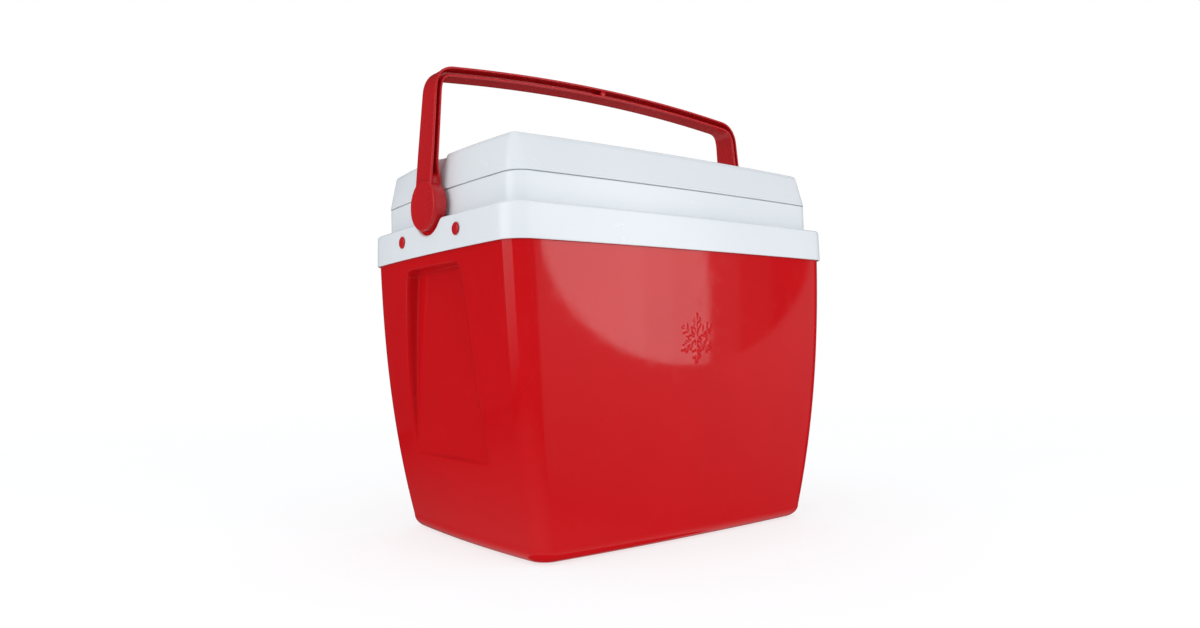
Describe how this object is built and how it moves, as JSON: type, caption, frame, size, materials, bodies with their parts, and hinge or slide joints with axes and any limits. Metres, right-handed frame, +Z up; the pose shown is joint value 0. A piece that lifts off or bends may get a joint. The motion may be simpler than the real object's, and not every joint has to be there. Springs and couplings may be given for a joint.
{
  "type": "picnic cooler box",
  "caption": "Tapered two-colour plastic cooler box with a white rim collar, lift-off lid, insulated tub and a swing handle that folds down either side.",
  "frame": {"origin": "centre of the base, on the plane the box stands on", "axes": "+Z up, X along the long side and through both handle hubs, -Y the front"},
  "size_m": [0.474, 0.302, 0.503],
  "materials": {
    "red_shell": "glossy injection-moulded red plastic",
    "red_handle": "satin injection-moulded red plastic",
    "white_plastic": "satin cool-white moulded plastic",
    "foam": "expanded polystyrene board",
    "clip_steel": "spring steel"
  },
  "bodies": {
    "body": {"outer_shell": "red_shell", "rim_collar": "white_plastic", "inner_tub": "white_plastic", "foam_board_front": "foam", "foam_board_back": "foam", "foam_board_left": "foam", "foam_board_right": "foam", "foam_board_base": "foam", "rim_stud_left_front": "red_handle", "rim_stud_left_back": "red_handle", "rim_stud_right_front": "red_handle", "rim_stud_right_back": "red_handle"},
    "swing_handle": {"handle": "red_handle", "pivot_clip_left": "clip_steel", "pivot_clip_right": "clip_steel"},
    "lid": {"lid_cover": "white_plastic", "lid_pan": "white_plastic", "lid_foam": "foam"}
  },
  "joints": [
    {"name": "handle_swing", "type": "hinge", "parent": "body", "child": "swing_handle", "pos_m": [0, 0, 0.3468], "axis": [1, 0, 0], "range_deg": [-86, 86]},
    {"name": "lid_lift", "type": "slide", "parent": "body", "child": "lid", "axis": [0, 0, 1], "range_m": [0, 0.05]}
  ]
}
